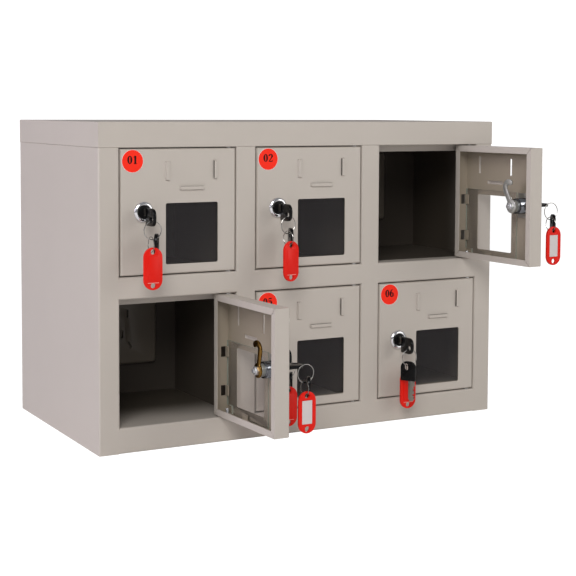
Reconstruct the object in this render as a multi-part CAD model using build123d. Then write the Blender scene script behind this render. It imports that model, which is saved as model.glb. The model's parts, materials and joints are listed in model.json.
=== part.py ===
"""Desktop phone locker: a folded sheet-steel cabinet with six inset doors.

Frame, in millimetres: the origin is on the ground, in the middle of the fold along the lower
front edge that the cabinet stands on; +Z is up, +X is to the right and the doors face -Y.
Each door is drawn closed, in its own frame: x from the left edge of its opening, y from the
cabinet's front face and z from the bottom edge of the opening. It is then placed, and turned
about its hinge pins by the angle in DOOR_ANGLES.
"""
from build123d import *
from math import cos, radians, sin, sqrt
import os

# ---------------------------------------------------------------- driving dimensions
OPENING = 135.5  # each square door opening
POST = 23.0  # side posts, folded from the side panels
MULLION = 23.75  # uprights between the columns
BOTTOM_RAIL = 27.5
MID_RAIL = 23.5
SKIRT = 27.0  # height of the top cover
DEPTH = 265.0
SHEET = 1.0
BEND = 2.0  # outside radius of a folded corner
FOLD_DEPTH = 21.5  # how far the folds run back round an opening
STOP_DROP = 8.0  # door stop under the top edge of an opening
LINER_DEPTH = 167.0  # front face to the inner back wall
REAR_LAP = 15.0  # flanges of the side panels over the back panel
FOOT_FOLD = 15.0  # fold along the lower front edge
SHELF_LIP = 12.0
SEAM_EASE = 0.6  # chamfer along the lower edge of the top cover
CABLE_HOLE, CABLE_HOLE_AT = 26.0, (60.0, 67.5)  # diameter, and place from the left side and the ground
PAST = 1.0  # how far a cutting solid runs past what it cuts

DOOR_GAP = 1.25
DOOR_DEPTH = 18.0
DOOR_LIP = 7.0
MITRE_GAP = 0.5  # between the lips, at each corner
PIVOT_IN = 8.0  # hinge axis, from the right edge of the opening
PIVOT_BACK = 5.0  # hinge axis, behind the front face
PIN = 4.0
PIN_HEAD, PIN_HEAD_THICK = 6.0, 1.5
PIN_LENGTH = 8.0
RUNNING = 0.05  # radial clearance of a running fit

WINDOW = (52.4, 113.2, 11.5, 76.5)  # x0, x1, z0, z1 of the cut-out in a door
WINDOW_CORNER = 2.0
PANE_LEFT, PANE_RIGHT, PANE_TOP, PANE_THICK = 42.0, 133.0, 82.25, 2.0
PANE_NOTCH_PLAY = 3.0
TAB = (6.0, 11.5)  # pane tabs: reach and width
TAB_HEIGHTS = (21.0, 64.0)
BOTTOM_TAB_X = 84.0

HOOD_WIDTH, HOOD_RISE, HOOD_WALL = 4.5, 2.4, 0.5
HOOD_CORNER, HOOD_SLOPE = 2.2, 28.0
HOODS = ((54.0, 110.5, 21.0, 0), (110.5, 111.5, 21.0, 180), (82.6, 91.5, 29.0, -90))  # x, z, length, turn

LOCK_X, LOCK_Z = 27.0, 68.0
BARREL = 18.0
BARREL_LENGTH = 17.5
FLANGE, FLANGE_RISE, FLANGE_BEVEL = 22.0, 3.0, 0.8
PLUG = 12.5
PLUG_RISE = 3.5
CLIP = (24.0, 28.0, 2.0)  # plate that holds the barrel in the door
CAM_BACK, CAM_THICK, CAM_HUB, CAM_ARM = 21.5, 2.5, 7.2, 6.0
CAM_KNEE, CAM_BULGE, CAM_TIP = (5.0, 10.0), (10.6, 19.4), (-6.1, 28.1)  # centre line of the hook
CAMS_TURNED_OVER = (4,)
TAIL = 7.0  # square tail of the plug
BOLT, BOLT_LENGTH = 6.0, 5.0
NUT, NUT_THICK = 10.0, 3.0

HEAD_LOW, HEAD_HIGH = -13.5, 5.0  # key head, across the blade
HEAD_BASE, HEAD_TIP = 9.0, 31.5  # key head, out from the door
HEAD_THICK, HEAD_ROUND = 3.4, 7.5
SLOT_AT, SLOT_LENGTH, SLOT_RADIUS = -6.5, 8.0, 2.4
SLOT_RIM = 2.6
BLADE = (2.0, 7.6, 23.0)  # thickness, width and length
BLADE_POINT, BLADE_PLAY = 2.5, 0.1

RING, WIRE, RING_PLAY = 9.6, 0.6, 0.25
SMALL_RING, SMALL_WIRE, SMALL_PLAY = 8.0, 0.5, 0.3
RING_RUNS = 24  # a ring is a polygon of wire with eight sides
TAG = (20.5, 44.0, 2.6)
TAG_HOLE, TAG_RIM, TAG_PLAY = 2.8, 1.8, 1.4
TAG_CARD = (12.5, 25.0, 0.8)  # recess for the name: width, height and depth
SPARE_ON_RING, SPARE_PLAY = 24.0, 1.9  # place round the ring from its lowest point
TAG_ON_RING, TAG_LEAN, TAG_BACK = -22.0, 38.0, 0.3
RING_TURN = {1: 0, 2: 12, 3: 0, 4: 8, 5: 0, 6: 180}  # how far each large ring hangs turned
SPARE_TURN = {1: 60, 2: 60, 3: 60, 4: 60, 5: 60, 6: 120}  # turn of each spare key on its ring

SOCKET_PLATE, SOCKET_RISE, SOCKET_CORNER, SOCKET_BEVEL = 86.0, 9.0, 5.0, 2.0
SOCKET_SLOT = (2.4, 8.5)
SOCKET_SLOTS = (  # x, z, turn
    (-6.5, 17.0, 0), (6.5, 17.0, 0), (0.0, -7.0, 0), (-9.0, -20.0, 30), (9.0, -20.0, -30),
)
SOCKET_BOX, SOCKET_BOX_DEPTH = 70.0, 28.0
SOCKET_X, SOCKET_Z = 65.0, 78.5  # centre of a plate, from its opening's corner

COLUMNS, ROWS = 3, 2
DOOR_ANGLES = {1: 0, 2: 0, 3: 93, 4: 92, 5: 0, 6: 0}  # how far each door stands open

# ---------------------------------------------------------------- sizes that follow
WIDTH = 2 * POST + COLUMNS * OPENING + (COLUMNS - 1) * MULLION
BODY_TOP = BOTTOM_RAIL + ROWS * OPENING + MID_RAIL
HEIGHT = BODY_TOP + SKIRT
LEFT, FRONT = -WIDTH / 2, -FOOT_FOLD / 2
BACK = FRONT + DEPTH
INSIDE = WIDTH / 2 - SHEET  # half width between the side panels
FOLD_BACK = FRONT + FOLD_DEPTH
LINER = FRONT + LINER_DEPTH
COLUMN_X = [LEFT + POST + i * (OPENING + MULLION) for i in range(COLUMNS)]
ROW_Z = [BOTTOM_RAIL, BOTTOM_RAIL + OPENING + MID_RAIL]
PARTITION_X = [x + OPENING for x in COLUMN_X[:-1]]
UNDER_TOP = HEIGHT - SHEET
BACK_PANEL = BACK - 2 * SHEET  # inner face of the back panel
DOOR_LEFT, DOOR_RIGHT = DOOR_GAP, OPENING - DOOR_GAP
DOOR_LOW = DOOR_GAP
PIVOT_X = OPENING - PIVOT_IN


def opening_corner(number):
    """Lower left front corner of opening 1 to 6, counted from the top left."""
    column, row = (number - 1) % COLUMNS, (number - 1) // COLUMNS
    return COLUMN_X[column], FRONT, ROW_Z[ROWS - 1 - row]


def block(x, y, z):
    """A box between two limits on each axis."""
    centre = [(low + high) / 2 for low, high in (x, y, z)]
    return Pos(*centre) * Box(x[1] - x[0], y[1] - y[0], z[1] - z[0])


def folded_strip(plane, skin, length, side):
    """Sheet folded along the outline of its outer skin, extruded along the plane's normal."""
    path = FilletPolyline(*skin, radius=BEND)
    section = make_face(path.wire().offset_2d(SHEET, side=side))
    return extrude(plane * section, length)


def cylinder_y(radius, y0, y1):
    """A round bar along Y, on the axis of x = z = 0."""
    return Pos(0, (y0 + y1) / 2, 0) * Rot(90, 0, 0) * Cylinder(radius, y1 - y0)


# ---------------------------------------------------------------- cabinet
def side_panel_left():
    """Side wall, front post and rear flange, folded from one sheet."""
    skin = [
        (LEFT + POST, FOLD_BACK),
        (LEFT + POST, FRONT),
        (LEFT, FRONT),
        (LEFT, BACK),
        (LEFT + REAR_LAP, BACK),
    ]
    return folded_strip(Plane.XY, skin, BODY_TOP, Side.RIGHT)


def base_panel():
    """Raised floor, folded down in front as the bottom rail and down again behind."""
    rear = BACK_PANEL
    skin = [(FRONT + FOOT_FOLD, 0), (FRONT, 0), (FRONT, BOTTOM_RAIL), (rear, BOTTOM_RAIL), (rear, 0)]
    tray = Pos(-INSIDE, 0, 0) * folded_strip(Plane.YZ, skin, 2 * INSIDE, Side.RIGHT)
    corner = block((LEFT, LEFT + POST), (FRONT - PAST, FOLD_BACK), (-PAST, BOTTOM_RAIL + PAST))
    return tray - corner - mirror(corner, Plane.YZ) - pin_holes(1, BOTTOM_RAIL)


def mid_rail():
    """Rail between the rows, with the stop strip of the lower doors folded down behind."""
    low, high = ROW_Z[0] + OPENING, ROW_Z[1]
    stop = FOLD_BACK - SHEET
    skin = [(FOLD_BACK, high), (FRONT, high), (FRONT, low), (stop, low), (stop, low - STOP_DROP)]
    length = WIDTH - 2 * POST
    rail = Pos(-length / 2, 0, 0) * folded_strip(Plane.YZ, skin, length, Side.LEFT)
    for x in PARTITION_X:
        rail -= block((x, x + MULLION), (FRONT - PAST, FOLD_BACK + PAST), (low - STOP_DROP - PAST, low))
    return rail - pin_holes(1, low) - pin_holes(0, high)


def mullions():
    """Uprights between the doors, open behind, one in each row between two columns."""
    found = []
    for x in PARTITION_X:
        skin = [(x, FOLD_BACK), (x, FRONT), (x + MULLION, FRONT), (x + MULLION, FOLD_BACK)]
        for z in ROW_Z:
            found.append(Pos(0, 0, z) * folded_strip(Plane.XY, skin, OPENING, Side.LEFT))
    return Compound(found)


def top_cover():
    """Welded cap over the body, with a header fold and the stop strips of the upper doors."""
    outer = block((LEFT, -LEFT), (FRONT, BACK), (BODY_TOP, HEIGHT))
    inner = block((-INSIDE, INSIDE), (FRONT + SHEET, BACK - SHEET), (BODY_TOP, UNDER_TOP))
    outer = fillet(outer.faces().sort_by(Axis.Z)[-1].edges(), SHEET)
    cap = outer - inner
    cap += block((-INSIDE, INSIDE), (FRONT + SHEET, FOLD_BACK), (BODY_TOP, BODY_TOP + SHEET))
    rim = cap.edges().filter_by(lambda e: abs(e.center().Z - BODY_TOP) < 0.01)
    front_edge = [e for e in rim if abs(e.center().Y - FRONT) < 0.01]
    side_edges = [e for e in rim if abs(abs(e.center().X) - WIDTH / 2) < 0.01]
    cap = chamfer(front_edge + side_edges, SEAM_EASE)
    for x in COLUMN_X:
        cap += block((x, x + OPENING), (FOLD_BACK - SHEET, FOLD_BACK), (BODY_TOP - STOP_DROP, BODY_TOP))
    return cap - pin_holes(0, BODY_TOP)


def pin_holes(row, z):
    """Holes for the hinge pins of one row of doors, through the fold at height z."""
    reach = 3 * SHEET
    bar = Cylinder(PIN / 2, 2 * reach)
    return [Pos(x + PIVOT_X, FRONT + PIVOT_BACK, z) * bar for x in COLUMN_X]


def back_panel():
    """Plain rear sheet behind the wiring space, with the mains cable's entry hole."""
    half = INSIDE - BEND + SHEET
    sheet = block((-half, half), (BACK_PANEL, BACK_PANEL + SHEET), (0, UNDER_TOP))
    across, up = CABLE_HOLE_AT
    hole = Pos(LEFT + across, 0, up) * cylinder_y(CABLE_HOLE / 2, BACK_PANEL - PAST, BACK)
    return sheet - hole


def rear_liner():
    """Inner back wall of the compartments, cut out for the six socket boxes."""
    wall = block((-INSIDE, INSIDE), (LINER, LINER + SHEET), (BOTTOM_RAIL, UNDER_TOP))
    for number in DOOR_ANGLES:
        x, _, z = opening_corner(number)
        centre = Pos(x + SOCKET_X, LINER + SHEET / 2, z + SOCKET_Z)
        wall -= centre * Box(SOCKET_BOX, 3 * SHEET, SOCKET_BOX)
    return wall


def partitions():
    """Walls between the columns, each with a narrow flange folded in front and behind."""
    found = []
    for x in PARTITION_X:
        lap = x + SHELF_LIP
        skin = [(lap, FOLD_BACK), (x, FOLD_BACK), (x, LINER), (lap, LINER)]
        strip = folded_strip(Plane.XY, skin, UNDER_TOP - BOTTOM_RAIL, Side.RIGHT)
        wall = Pos(0, 0, BOTTOM_RAIL) * strip
        shelf = ROW_Z[1]
        slot_z = (shelf - SHELF_LIP - PAST, shelf + PAST)
        slot = block((x + SHEET, lap + PAST), (FOLD_BACK - PAST, LINER + PAST), slot_z)
        found.append(wall - slot)
    return Compound(found)


def shelves():
    """Floors of the upper compartments, one tray for each column."""
    found = []
    walls = [-INSIDE] + [x + SHEET for x in PARTITION_X]
    for left, right in zip(walls, PARTITION_X + [INSIDE]):
        top = ROW_Z[1]
        skin = [(left, top - SHELF_LIP), (left, top), (right, top), (right, top - SHELF_LIP)]
        tray = folded_strip(Plane.XZ, skin, LINER - FOLD_BACK, Side.RIGHT)
        found.append(Pos(0, LINER, 0) * tray)
    return Compound(found)


def socket_outlet():
    """Two-pin and three-pin mains outlet: bevelled plate in front, box behind the wall."""
    face = RectangleRounded(SOCKET_PLATE, SOCKET_PLATE, SOCKET_CORNER)
    plate = Rot(90, 0, 0) * extrude(face, SOCKET_RISE)
    plate = chamfer(plate.faces().sort_by(Axis.Y)[0].edges(), SOCKET_BEVEL)
    pin = Rot(90, 0, 0) * extrude(Rectangle(*SOCKET_SLOT), SOCKET_RISE)
    for x, z, turn in SOCKET_SLOTS:
        plate -= Pos(x, -SOCKET_RISE / 2, z) * Rot(0, turn, 0) * pin
    half = SOCKET_BOX / 2
    return plate + block((-half, half), (0, SOCKET_BOX_DEPTH), (-half, half))


def socket_outlets():
    """One outlet on the back wall of each compartment."""
    outlet, found = socket_outlet(), []
    for number in DOOR_ANGLES:
        x, _, z = opening_corner(number)
        found.append(Pos(x + SOCKET_X, LINER, z + SOCKET_Z) * outlet)
    return Compound(found)


def hinge_pin():
    """Riveted pin standing in a rail: head behind the sheet, collar and shank in front."""
    head = Pos(0, 0, -SHEET - PIN_HEAD_THICK / 2) * Cylinder(PIN_HEAD / 2, PIN_HEAD_THICK)
    collar_rise = DOOR_GAP - RUNNING
    collar = Pos(0, 0, collar_rise / 2) * Cylinder(PIN_HEAD / 2, collar_rise)
    shank = Pos(0, 0, (PIN_LENGTH - SHEET) / 2) * Cylinder(PIN / 2, PIN_LENGTH + SHEET)
    return head + collar + shank


def hinge_pins():
    """A pin under and over each door."""
    pin, found = hinge_pin(), []
    for number in DOOR_ANGLES:
        x, y, z = opening_corner(number)
        foot = Pos(x + PIVOT_X, y + PIVOT_BACK, z)
        found += [foot * pin, foot * Pos(0, 0, OPENING) * Rot(180, 0, 0) * pin]
    return Compound(found)


# ---------------------------------------------------------------- doors
def door_panel():
    """Door pan folded from one sheet, with mitred lips, pane tabs and three card hoods."""
    span = DOOR_RIGHT - DOOR_LEFT
    centre = Pos(OPENING / 2, 0, OPENING / 2)
    pan = centre * Pos(0, DOOR_DEPTH / 2, 0) * Box(span, DOOR_DEPTH, span)
    pan = fillet(pan.faces().sort_by(Axis.Y)[0].edges(), BEND)
    hollow = DOOR_DEPTH - 2 * SHEET
    pan -= centre * Pos(0, SHEET + hollow / 2, 0) * Box(span - 2 * SHEET, hollow, span - 2 * SHEET)
    mouth = span - 2 * DOOR_LIP
    pan -= centre * Pos(0, DOOR_DEPTH, 0) * Box(mouth, 4 * SHEET, mouth)
    mitre = Pos(0, DOOR_DEPTH, 0) * Box(4 * DOOR_LIP, 2 * SHEET + MITRE_GAP, MITRE_GAP)
    for turn in (45, 135, 225, 315):
        reach = span / 2 * sqrt(2)
        pan -= centre * Rot(0, turn, 0) * Pos(reach, 0, 0) * mitre
    x0, x1, z0, z1 = WINDOW
    outline = RectangleRounded(x1 - x0, z1 - z0, WINDOW_CORNER)
    pan -= Pos((x0 + x1) / 2, 0, (z0 + z1) / 2) * Rot(90, 0, 0) * extrude(outline, 2 * SHEET, both=True)
    pan -= Pos(LOCK_X, 0, LOCK_Z) * cylinder_y(BARREL / 2, -SHEET, 2 * SHEET)
    pan -= Pos(PIVOT_X, PIVOT_BACK, OPENING / 2) * Cylinder(PIN / 2 + RUNNING, OPENING)
    return add_hoods(add_tabs(pan))


def add_tabs(pan):
    """Pane tabs lanced out of the hinge flange, and one out of the bottom flange."""
    reach, width = TAB
    back = SHEET + PANE_THICK
    wall = DOOR_RIGHT - SHEET
    for z in TAB_HEIGHTS:
        pan -= block((wall - PAST, DOOR_RIGHT + PAST), (back + SHEET, back + SHEET + reach), (z, z + width))
        pan += block((wall - reach, wall), (back, back + SHEET), (z, z + width))
    floor = DOOR_LOW + SHEET
    low, high = BOTTOM_TAB_X, BOTTOM_TAB_X + width
    pan -= block((low, high), (back + SHEET, back + SHEET + reach), (DOOR_LOW - PAST, floor + PAST))
    pan += block((low, high), (back, back + SHEET), (floor, floor + reach))
    return pan


def add_hoods(pan):
    """Three lanced hoods that hold a name card, each open towards the card."""
    for x, z, length, turn in HOODS:
        place = Pos(x, 0, z) * Rot(0, turn, 0) * Pos(HOOD_WIDTH / 2, 0, 0)
        end = length / 2 - HOOD_WALL
        pan += place * (hood(length, 0) - hood(length, HOOD_WALL))
        pan -= place * block((HOOD_WALL - HOOD_WIDTH, 0), (-SHEET / 2, 2 * SHEET), (-end, end))
    return pan


def hood(length, wall):
    """A hood's outer form, or its hollow; it rises from the sheet and ends at its mouth, x = 0."""
    base = RectangleRounded(2 * (HOOD_WIDTH - wall), length - 2 * wall, HOOD_CORNER - wall)
    form = Rot(90, 0, 0) * extrude(base, HOOD_RISE - wall, taper=HOOD_SLOPE)
    return form - block((0, HOOD_WIDTH), (-HOOD_RISE, 0), (-length, length))


def door_window():
    """Clear pane behind the cut-out, standing on the bottom flange, notched round the hinge pin."""
    pane = block((PANE_LEFT, PANE_RIGHT), (SHEET, SHEET + PANE_THICK), (DOOR_LOW + SHEET, PANE_TOP))
    return pane - block((PIVOT_X - PIN_HEAD, OPENING), (0, OPENING), (0, PIN_LENGTH + PANE_NOTCH_PLAY))


def lock_housing():
    """Barrel with its face flange, and the clip plate that holds it behind the sheet."""
    body = cylinder_y(FLANGE / 2, -FLANGE_RISE, 0)
    body = chamfer(body.faces().sort_by(Axis.Y)[0].edges(), FLANGE_BEVEL)
    body += cylinder_y(BARREL / 2, 0, BARREL_LENGTH)
    body -= cylinder_y(PLUG / 2 + RUNNING, -FLANGE_RISE - PAST, BARREL_LENGTH + PAST)
    width, height, thick = CLIP
    clip = block((-width / 2, width / 2), (SHEET, SHEET + thick), (-height / 2, height / 2))
    clip -= cylinder_y(BARREL / 2, 0, 2 * SHEET + thick)
    return Compound([body, clip])


def keyway(turn):
    """Slot for the blade, turned with the key."""
    thick, wide, long = BLADE
    side, rise, end = thick / 2 + BLADE_PLAY, wide / 2 + BLADE_PLAY, long - HEAD_BASE + BLADE_PLAY
    return Rot(0, turn, 0) * block((-side, side), (-2 * PLUG_RISE, end), (-rise, rise))


def cam(turned_over):
    """Hooked cam: round hub, curved arm and a rounded tip that turns back over the lock."""
    arm = Line((0, 0), CAM_KNEE) + ThreePointArc(CAM_KNEE, CAM_BULGE, CAM_TIP)
    outline = Circle(CAM_HUB) + trace(arm, CAM_ARM) + Pos(*CAM_TIP) * Circle(CAM_ARM / 2)
    blank = Rot(90, 0, 0) * extrude(outline - Rectangle(TAIL, TAIL), CAM_THICK)
    return mirror(blank, Plane.YZ) if turned_over else blank


def lock_plug(turn, turned_over):
    """Plug, hooked cam on its square tail, and the nut that holds the cam."""
    half, nut_back = TAIL / 2, CAM_BACK + CAM_THICK
    plug = cylinder_y(PLUG / 2, -PLUG_RISE, CAM_BACK) - keyway(turn)
    plug += block((-half, half), (CAM_BACK, nut_back), (-half, half))
    plug += cylinder_y(BOLT / 2, nut_back, nut_back + BOLT_LENGTH)
    hexagon = RegularPolygon(NUT / sqrt(3), 6) - Circle(BOLT / 2)
    nut = Pos(0, nut_back + NUT_THICK, 0) * Rot(90, 0, 0) * extrude(hexagon, NUT_THICK)
    return Compound([plug, Pos(0, nut_back, 0) * cam(turned_over), nut])


def key():
    """Key in the lock, its head in the upright plane and hanging below the blade's line."""
    length = HEAD_TIP - HEAD_BASE
    width = HEAD_HIGH - HEAD_LOW
    shield = Pos((HEAD_LOW + HEAD_HIGH) / 2, length / 2) * Rectangle(width, length)
    shield = fillet(shield.vertices().sort_by(Axis.Y)[-2:], HEAD_ROUND)
    slot_middle = length - SLOT_RIM - SLOT_LENGTH / 2
    shield -= Pos(SLOT_AT, slot_middle) * Rot(0, 0, 90) * SlotOverall(SLOT_LENGTH, 2 * SLOT_RADIUS)
    head = extrude(shield, HEAD_THICK / 2, both=True)
    thick, wide, long = BLADE
    blade = block((-wide / 2, wide / 2), (-long, 0), (-thick / 2, thick / 2))
    blade = chamfer(blade.faces().sort_by(Axis.Y)[0].edges().filter_by(Axis.Z), BLADE_POINT)
    return Compound([head, blade])


def ring(radius, wire):
    """A closed ring of wire in the XZ plane, its section a square with its corners cut to an octagon."""
    outline = RegularPolygon(radius + wire, RING_RUNS) - RegularPolygon(radius - wire, RING_RUNS)
    band = Rot(90, 0, 0) * extrude(outline, wire, both=True)
    return chamfer(band.faces().filter_by(Axis.Y).edges(), wire * (2 - sqrt(2)))


def slot_point():
    """Point on the key's middle plane where a wire bears on the far end of the slot."""
    return SLOT_AT, HEAD_TIP - HEAD_BASE - SLOT_RIM - WIRE - SPARE_PLAY


def key_in_lock(turn):
    """Key with its blade in the plug, its head's low side down, then turned with the plug."""
    seat = Plane(origin=(0, -HEAD_BASE, 0), x_dir=(0, 0, 1), z_dir=(1, 0, 0))
    return Rot(0, turn, 0) * seat * key()


def key_rings():
    """Large ring at the origin and the small ring of the tag linked through it."""
    lean = radians(TAG_LEAN)
    link = on_ring(TAG_ON_RING)
    drop = SMALL_RING - SMALL_WIRE - WIRE - SMALL_PLAY
    centre = (link[0], -drop * sin(lean), link[2] - drop * cos(lean))
    small = Pos(*centre) * Rot(0, 0, 90) * ring(SMALL_RING, SMALL_WIRE)
    return Compound([ring(RING, WIRE), small])


def on_ring(angle):
    """Point of the large ring's wire at an angle from its lowest point."""
    return RING * sin(radians(angle)), 0, -RING * cos(radians(angle))


def spare_key(yaw):
    """Spare key hanging from the large ring by the far end of its slot."""
    turn = radians(yaw)
    across, along = slot_point()
    x, y, z = on_ring(SPARE_ON_RING)
    corner = (x - across * cos(turn), y - across * sin(turn), z - along)
    hang = Plane(origin=corner, x_dir=(cos(turn), sin(turn), 0), z_dir=(sin(turn), -cos(turn), 0))
    return hang * key()


def key_tag(card_behind):
    """Moulded tag with round ends, a hole at each end and a recess for the name on one side."""
    width, height, thick = TAG
    lean = radians(TAG_LEAN)
    reach = 2 * SMALL_RING - SMALL_WIRE - WIRE - SMALL_PLAY
    x, _, z = on_ring(TAG_ON_RING)
    hole_z = z - reach * cos(lean) - (TAG_HOLE - SMALL_WIRE - TAG_PLAY)
    middle = hole_z + TAG_HOLE + TAG_RIM - height / 2
    hole = hole_z - middle
    outline = Rot(0, 0, 90) * SlotOverall(height, width) - Pos(0, hole) * Circle(TAG_HOLE)
    outline -= Pos(0, -hole) * Circle(TAG_HOLE)
    body = Rot(90, 0, 0) * extrude(outline, thick / 2, both=True)
    card_width, card_height, deep = TAG_CARD
    side = thick / 2 if card_behind else -thick / 2
    body -= Pos(0, side, 0) * Box(card_width, 2 * deep, card_height)
    return Pos(x, TAG_BACK - reach * sin(lean), middle) * body


def fob_place(number, is_open):
    """Where the large ring hangs: in the slot of a closed door's key, or over an open one's tip."""
    inner = RING - WIRE
    half = HEAD_THICK / 2
    slot_end = HEAD_TIP - SLOT_RIM
    if is_open:
        middle = -(slot_end + HEAD_TIP) / 2
        top = half - sqrt(inner**2 - (SLOT_RIM / 2) ** 2)
        return Pos(SLOT_AT, middle, top + RING_PLAY) * Rot(0, 0, -90)
    top = SLOT_AT - SLOT_RADIUS - sqrt(inner**2 - half**2)
    return Pos(0, -(slot_end - SLOT_LENGTH / 2), top + RING_PLAY) * Rot(0, 0, RING_TURN[number])


def build_door(number):
    """All the pieces of one door, by node name, placed and turned to where the door stands."""
    x, y, z = opening_corner(number)
    angle = DOOR_ANGLES[number]
    turn = 90 if angle else 0
    pivot = Pos(PIVOT_X, PIVOT_BACK, 0)
    swing = pivot * Rot(0, 0, angle) * Pos(-PIVOT_X, -PIVOT_BACK, 0)
    door = Pos(x, y, z) * swing
    lock = door * Pos(LOCK_X, 0, LOCK_Z)
    fob = lock * fob_place(number, angle > 0)
    mark = f"{number:02d}"
    return {
        "door_panel_" + mark: door * door_panel(),
        "door_window_" + mark: door * door_window(),
        "lock_housing_" + mark: lock * lock_housing(),
        "lock_plug_" + mark: lock * lock_plug(turn, number in CAMS_TURNED_OVER),
        "key_" + mark: lock * key_in_lock(turn),
        "key_ring_" + mark: fob * key_rings(),
        "spare_key_" + mark: fob * spare_key(SPARE_TURN[number]),
        "key_tag_" + mark: fob * key_tag(card_behind=angle == 0),
    }


# ---------------------------------------------------------------- assembly
def build_cabinet():
    """The pieces that stay put, by node name."""
    side = side_panel_left()
    return {
        "side_panel_left": side,
        "side_panel_right": mirror(side, Plane.YZ),
        "base_panel": base_panel(),
        "mid_rail": mid_rail(),
        "mullions": mullions(),
        "top_cover": top_cover(),
        "back_panel": back_panel(),
        "rear_liner": rear_liner(),
        "partitions": partitions(),
        "shelves": shelves(),
        "socket_outlets": socket_outlets(),
        "hinge_pins": hinge_pins(),
    }


if __name__ == "__main__":
    os.makedirs("parts", exist_ok=True)
    nodes = build_cabinet()
    for door_number in DOOR_ANGLES:
        nodes.update(build_door(door_number))
    for name, shape in nodes.items():
        export_step(shape, f"parts/{name}.step")
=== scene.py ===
"""Looks of a six-door phone locker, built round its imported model. Metres, +Z up, doors facing -Y."""
import bmesh
import bpy
import json
from math import cos, pi, radians, sin
from mathutils import Matrix, Vector

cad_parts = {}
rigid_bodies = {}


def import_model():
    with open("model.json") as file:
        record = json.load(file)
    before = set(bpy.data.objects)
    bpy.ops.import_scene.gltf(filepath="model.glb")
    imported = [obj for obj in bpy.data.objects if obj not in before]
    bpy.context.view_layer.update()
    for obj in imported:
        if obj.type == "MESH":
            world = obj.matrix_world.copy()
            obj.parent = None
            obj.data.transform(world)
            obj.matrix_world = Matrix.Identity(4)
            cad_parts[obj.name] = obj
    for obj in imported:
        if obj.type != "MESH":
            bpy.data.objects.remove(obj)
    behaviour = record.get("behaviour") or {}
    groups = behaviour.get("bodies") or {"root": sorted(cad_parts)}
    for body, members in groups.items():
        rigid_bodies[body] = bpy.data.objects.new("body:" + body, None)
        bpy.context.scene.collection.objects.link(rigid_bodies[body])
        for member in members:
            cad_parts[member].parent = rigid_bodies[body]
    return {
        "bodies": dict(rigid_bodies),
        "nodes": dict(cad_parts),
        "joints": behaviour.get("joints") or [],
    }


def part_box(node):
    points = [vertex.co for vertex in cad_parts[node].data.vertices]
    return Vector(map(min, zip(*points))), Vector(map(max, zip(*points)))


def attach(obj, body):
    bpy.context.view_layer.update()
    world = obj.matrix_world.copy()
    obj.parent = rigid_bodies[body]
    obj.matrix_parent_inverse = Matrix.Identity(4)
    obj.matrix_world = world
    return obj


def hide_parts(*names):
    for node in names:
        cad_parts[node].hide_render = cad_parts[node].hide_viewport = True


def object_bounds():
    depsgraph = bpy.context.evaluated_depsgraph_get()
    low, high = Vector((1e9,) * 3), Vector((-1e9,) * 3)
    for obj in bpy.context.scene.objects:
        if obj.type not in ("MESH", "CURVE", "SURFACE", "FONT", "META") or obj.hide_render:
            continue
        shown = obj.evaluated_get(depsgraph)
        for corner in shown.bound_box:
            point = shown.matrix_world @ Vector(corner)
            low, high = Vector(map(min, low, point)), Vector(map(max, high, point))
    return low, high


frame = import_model()
cad_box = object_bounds()
MM = 0.001
JOINTS = {joint["name"]: joint for joint in frame["joints"]}
DOORS = [name[-2:] for name in sorted(frame["bodies"]) if name.startswith("door_")]
CLOSED = [mark for mark in DOORS if abs(JOINTS[f"lock_{mark}_turn"]["axis"][1]) > 0.9]


# ---------------------------------------------------------------- camera
# Stands off to the left and a little above the doors' middle, with a long lens. The lens is shifted
# down and the camera hardly tipped, so the cabinet's uprights stay almost upright.
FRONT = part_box("mid_rail")[0][1]  # the plane of the closed doors' faces
CAMERA_AT = Vector((-0.74762, FRONT - 1.33188, 0.36188))
CAMERA_YAW, CAMERA_PITCH, CAMERA_ROLL = 0.49542, 0.06483, 0.004377
LENS_MM = 85.636
SHIFT_DOWN = -0.15469

camera_data = bpy.data.cameras.new("camera")
camera_data.lens = LENS_MM
camera_data.sensor_width = 36
camera_data.shift_y = SHIFT_DOWN
camera_data.clip_start = 0.05
camera = bpy.data.objects.new("camera", camera_data)
turn = Matrix.Rotation(-CAMERA_YAW, 4, "Z") @ Matrix.Rotation(pi / 2 - CAMERA_PITCH, 4, "X")
camera.matrix_world = Matrix.Translation(CAMERA_AT) @ turn @ Matrix.Rotation(CAMERA_ROLL, 4, "Z")
bpy.context.scene.collection.objects.link(camera)
bpy.context.scene.camera = camera
bpy.context.scene.view_settings.view_transform = "Standard"


# ---------------------------------------------------------------- studio
# A white sweep under a dim, even sky, with three soft lamps: the key high on the left, a weak fill on
# the right, and a cool one that lights the cabinet's left side.
def linear(hex_colour):
    """Linear RGBA of an sRGB hex colour."""
    parts = [int(hex_colour[i : i + 2], 16) / 255 for i in (1, 3, 5)]
    return [p / 12.92 if p <= 0.04045 else ((p + 0.055) / 1.055) ** 2.4 for p in parts] + [1]


def node(tree, kind, inputs=(), **settings):
    """Adds a node, sets its settings, and sets or links its inputs."""
    made = tree.nodes.new("ShaderNode" + kind)
    for name, value in settings.items():
        setattr(made, name, value)
    for name, value in dict(inputs).items():
        if isinstance(value, bpy.types.NodeSocket):
            tree.links.new(value, made.inputs[name])
        else:
            made.inputs[name].default_value = value
    return made


def product(tree, one, two):
    """The output of a node that multiplies two values."""
    return node(tree, "Math", {0: one, 1: two}, operation="MULTIPLY").outputs[0]


FLOOR_WHITE, FLOOR_HALF = "#F2F1EF", 6
FLOOR_GLOW = 0.93  # share of the floor's own white in what the camera sees of it
SKY_TINT, SKY_LIGHT = "#F3F4F8", 0.3
BACKDROP_LIGHT = 1.2  # of the sky and floor as the camera sees them

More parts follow.
